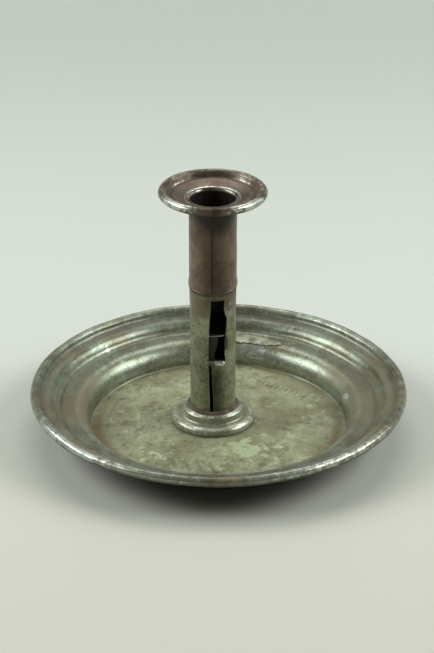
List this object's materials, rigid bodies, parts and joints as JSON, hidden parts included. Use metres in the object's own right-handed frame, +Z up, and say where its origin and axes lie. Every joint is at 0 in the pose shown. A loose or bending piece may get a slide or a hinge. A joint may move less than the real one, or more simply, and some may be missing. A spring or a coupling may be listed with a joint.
{
  "type": "candlestick",
  "caption": "Round metal saucer candlestick with a slotted tube stem, a push-up ejector and a dished drip flange round the candle socket.",
  "frame": {"origin": "centre of the bounding box at the bottom, on the table under the pan's centre", "axes": "+Z up along the stem, -Y towards the front, the side with the slot and the thumb tab"},
  "size_m": [0.188, 0.188, 0.1291],
  "materials": {
    "pan_tin": "old tinned sheet iron, dull, mottled khaki and grey",
    "iron_wire": "dark iron wire",
    "collar_tin": "worn tinned sheet iron, bright on its beads",
    "lower_tin": "dull olive grey tinned sheet iron",
    "upper_tin": "dark brown oxidised sheet iron",
    "flange_tin": "reddish brown oxidised sheet iron, silver on its rolled edge",
    "solder": "grey green solder, stained with rust",
    "patch_tin": "ragged beige grey tin patch",
    "ejector_tin": "dark grey sheet iron",
    "tab_tin": "rubbed bright tinned iron"
  },
  "bodies": {
    "stand": {"pan": "pan_tin", "pan_rim_wire": "iron_wire", "stem_foot_collar": "collar_tin", "stem_lower_tube": "lower_tin", "stem_upper_tube": "upper_tin", "drip_flange": "flange_tin", "drip_flange_wire": "iron_wire", "foot_solder": "solder", "joint_solder": "solder", "flange_solder": "solder", "repair_patch": "patch_tin"},
    "ejector": {"ejector_disc": "ejector_tin", "ejector_strip": "ejector_tin", "thumb_tab": "tab_tin"}
  },
  "joints": [
    {"name": "ejector_slide", "type": "slide", "parent": "stand", "child": "ejector", "axis": [0, 0, 1], "range_m": [0, 0.034]}
  ]
}
